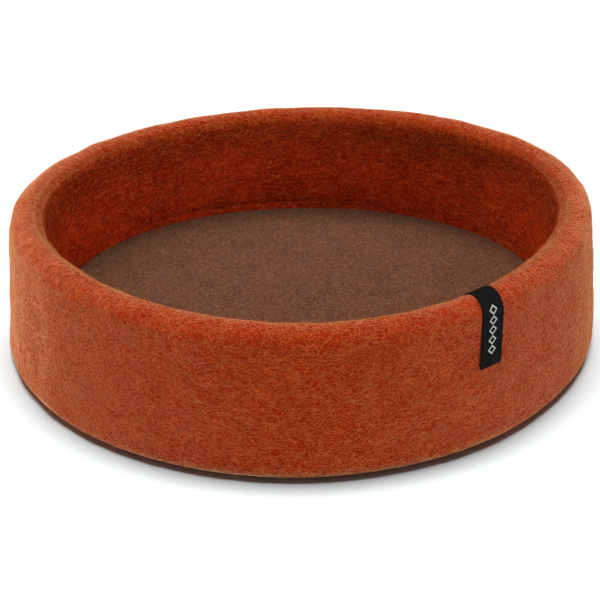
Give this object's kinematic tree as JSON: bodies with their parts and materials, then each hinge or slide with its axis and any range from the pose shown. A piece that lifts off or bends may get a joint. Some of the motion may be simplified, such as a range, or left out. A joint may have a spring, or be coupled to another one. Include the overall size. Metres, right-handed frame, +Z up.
{
  "type": "felt dog basket",
  "caption": "Round pet basket of thick wool felt: a soft wall with a rounded rim, a flat felt mat inside and a plain ribbon label folded over the rim.",
  "frame": {"origin": "middle of the outline seen from above, on the flat underside", "axes": "+Z up out of the basket, -Y towards the front, +X to the right; the label is at the front right"},
  "size_m": [0.6152, 0.6182, 0.155],
  "materials": {
    "felt_orange": "thick hand-felted wool, matt, with loose curly surface fibres",
    "felt_brown": "fine, flat wool felt, matt",
    "ribbon_black": "tightly woven ribbon with a faint satin sheen"
  },
  "bodies": {
    "root": {"basket": "felt_orange", "mat": "felt_brown", "label": "ribbon_black"}
  },
  "joints": []
}
